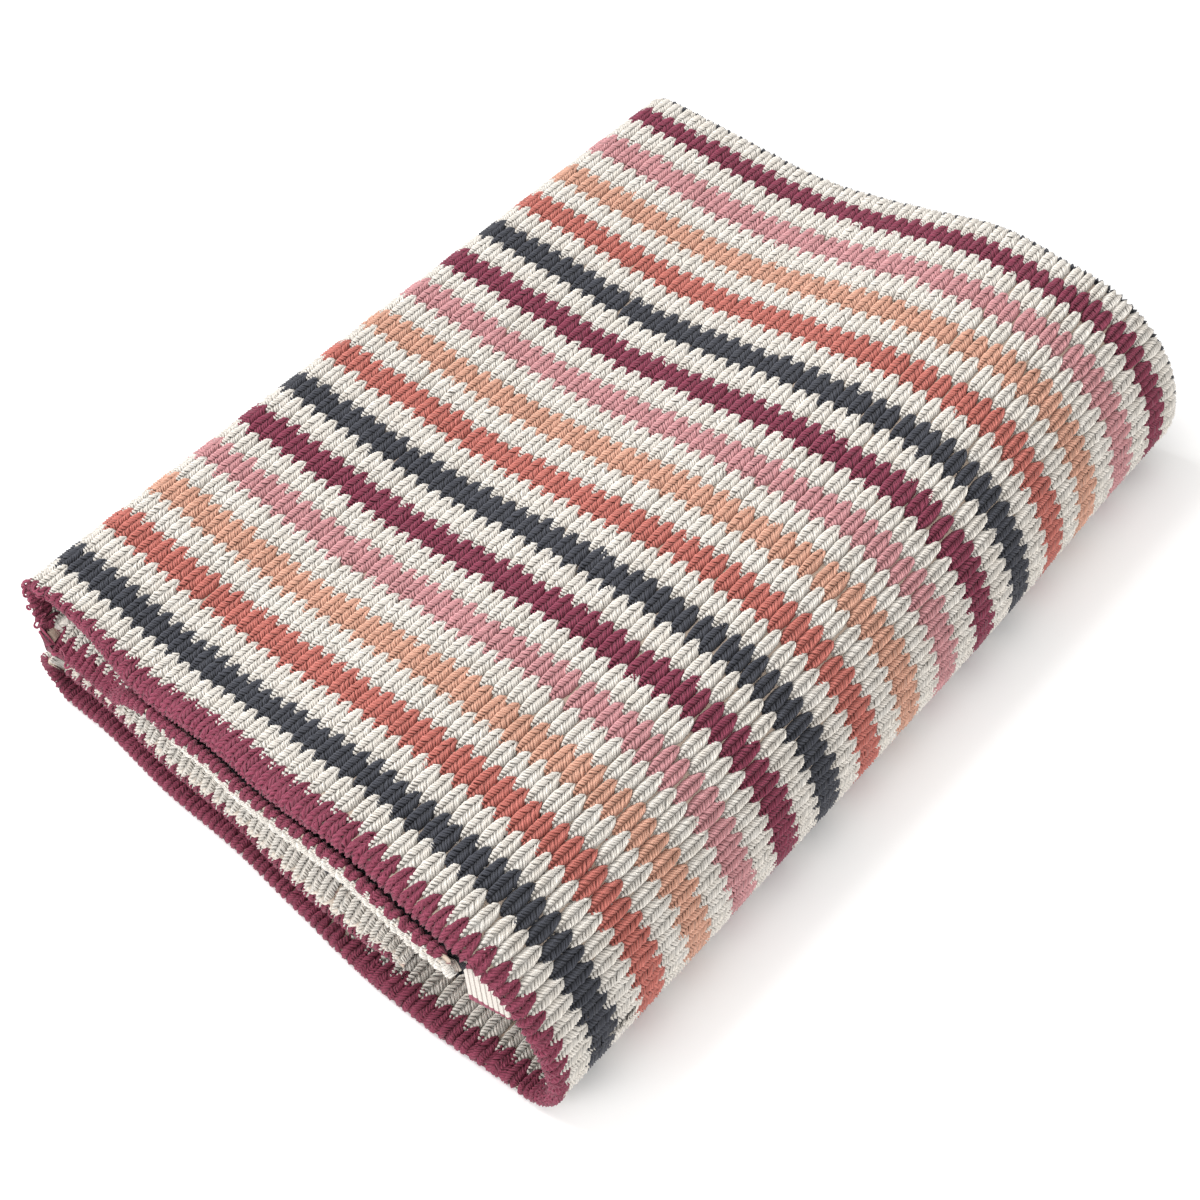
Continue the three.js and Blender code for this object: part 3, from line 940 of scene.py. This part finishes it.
def tab_material():
    """Fine woven ribs, white above and burgundy along the lower edge, with painted shade in the grooves
    between the ribs.
    """
    n = Nodes("tape")
    rib, down = n.cloth_map()
    weave = n.math("ABSOLUTE", n.math("SINE", n.math("MULTIPLY", down, TAB_WEAVE)))
    edge = n.math("MULTIPLY_ADD", n.noise(TAB_BORDER_SCALE), TAB_BORDER_UNEVEN, down)
    edge = n.math("GREATER_THAN", edge, TAB_BORDER)
    on_rib = n.math("GREATER_THAN", ridges(n, rib), TAB_GROOVE_WIDTH)
    colour = n.colour_mix(edge, TAB_COLOUR, BURGUNDY)
    # Painted shade: off the ribs the colour is half darkened towards dark brown
    colour = n.colour_mix(on_rib, n.colour_mix(TAB_GROOVE_SHARE, colour, TAB_PAINTED_GROOVE_SHADE), colour)
    height = n.math("MULTIPLY_ADD", weave, TAB_WEAVE_HEIGHT, n.noise(TAB_FIBRE_SCALE, 3.0))
    return n.finish(colour, height, *TAB_RELIEF)


def make_tab():
    """A short ribbed tape: a grid shaped as its front, then extruded to its back."""
    columns = TAB_RIBS * TAB_RIB_STEPS + 1
    across, down = np.meshgrid(np.linspace(0, 1, columns), np.linspace(0, 1, TAB_ROWS))
    top = [mix(TAB_TOP[0][k], TAB_TOP[1][k], across) for k in (0, 1)]
    foot = [mix(TAB_FOOT[0][k], TAB_FOOT[1][k], across) for k in (0, 1)]
    x = mix(top[0], foot[0], down) - MIDDLE_X
    z = mix(top[1], foot[1], down)
    ridge = TAB_RIB_HEIGHT * np.sqrt(np.abs(np.sin(math.pi * TAB_RIBS * across)))
    thin = np.clip(np.minimum(across, 1 - across) * TAB_EDGE_ROUND, TAB_EDGE_THIN, 1)
    thin = thin * np.clip((1 - down) * TAB_EDGE_ROUND, TAB_EDGE_THIN, 1)
    front_y = TAB_Y - (TAB_THICK / 2 - TAB_RIB_HEIGHT + ridge) * thin
    back_y = TAB_Y + (TAB_THICK / 2) * thin
    front, back = (np.stack([x, y, z], -1).reshape(-1, 3) * MM for y in (front_y, back_y))

    body, place_in_grid = grid(TAB_ROWS, columns)
    first = list(body.verts)
    grown = bmesh.ops.extrude_face_region(body, geom=body.faces[:])["geom"]
    second = [item for item in grown if isinstance(item, bmesh.types.BMVert)]
    for corners, side in ((first, front), (second, back)):
        for corner in corners:
            corner.co = side[corner[place_in_grid]]
    write_cloth_map(body, place_in_grid, np.stack([across * TAB_RIBS, down], -1).reshape(-1, 2))
    bmesh.ops.recalc_face_normals(body, faces=body.faces)
    mesh = grid_mesh("tape_tab", body, place_in_grid)
    piece = finish_piece("tape_tab", mesh, tab_material())
    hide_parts("tab")
    return piece


make_tab()

# Floor, light and camera
FLOOR_SIZE = 6.0
FLOOR_COLOUR = (0.95, 0.95, 0.95)
FLOOR_GRAIN = 40.0
FLOOR_RELIEF = (0.02, 0.0002)
DAYLIGHT = (1.0, 0.985, 0.965, 1.0)
DAYLIGHT_STRENGTH = 0.68
AZIMUTH = math.radians(51.26)
ELEVATION = math.radians(48.96)
ROLL = math.radians(-8.6)
DISTANCE = 0.55266
LENS = 62.68
SENSOR = 36.0
NEAREST = 0.01
AIM = Vector((0.01437, -0.01914, 0.015))


def make_floor():
    """A plain pale floor with the faintest grain."""
    bpy.ops.mesh.primitive_plane_add(size=FLOOR_SIZE)
    plane = bpy.context.object
    plane.name = "floor"
    n = Nodes("white paper")
    plane.data.materials.append(n.finish(FLOOR_COLOUR, n.noise(FLOOR_GRAIN), *FLOOR_RELIEF))
    return plane


def soft_light(name, place_at, size, power):
    """A square soft box of a size in metres and a power in watts, aimed at the towel."""
    data = bpy.data.lights.new(name, "AREA")
    data.size = size
    data.energy = power
    lamp = bpy.data.objects.new(name, data)
    lamp.location = place_at
    lamp.rotation_euler = (-Vector(place_at)).to_track_quat("-Z", "Y").to_euler()
    bpy.context.scene.collection.objects.link(lamp)
    return lamp


def daylight():
    """Even light from all round, and colours shown as they are, so that the floor can be white."""
    world = bpy.data.worlds.new("studio")
    world.use_nodes = True
    background = world.node_tree.nodes["Background"]
    background.inputs[0].default_value = DAYLIGHT
    background.inputs[1].default_value = DAYLIGHT_STRENGTH
    bpy.context.scene.world = world
    bpy.context.scene.view_settings.view_transform = "Standard"


def make_camera():
    """The camera at the photograph's angle, tilted a little to one side as the photograph is."""
    level = math.cos(ELEVATION)
    away = Vector((math.sin(AZIMUTH) * level, -math.cos(AZIMUTH) * level, math.sin(ELEVATION)))
    right = (-away).cross(Vector((0, 0, 1))).normalized()
    upward = right.cross(-away)
    turned_right = right * math.cos(ROLL) + upward * math.sin(ROLL)
    turned_up = upward * math.cos(ROLL) - right * math.sin(ROLL)
    data = bpy.data.cameras.new("camera")
    data.lens = LENS
    data.sensor_width = SENSOR
    data.clip_start = NEAREST
    seat = bpy.data.objects.new("camera", data)
    axes = Matrix((turned_right, turned_up, away)).transposed().to_4x4()
    seat.matrix_world = Matrix.Translation(AIM + away * DISTANCE) @ axes
    bpy.context.scene.collection.objects.link(seat)
    bpy.context.scene.camera = seat
    return seat


floor = make_floor()
lamps = [
    soft_light("window", (-0.8, -0.2, 1.2), 0.7, 12.5),
    soft_light("ceiling", (0.3, -0.2, 1.6), 1.6, 5.5),
    soft_light("front", (-0.2, -1.5, 0.7), 0.9, 12.0),
    soft_light("fill", (1.4, -0.5, 0.8), 0.9, 8.0),
]
daylight()
camera = make_camera()
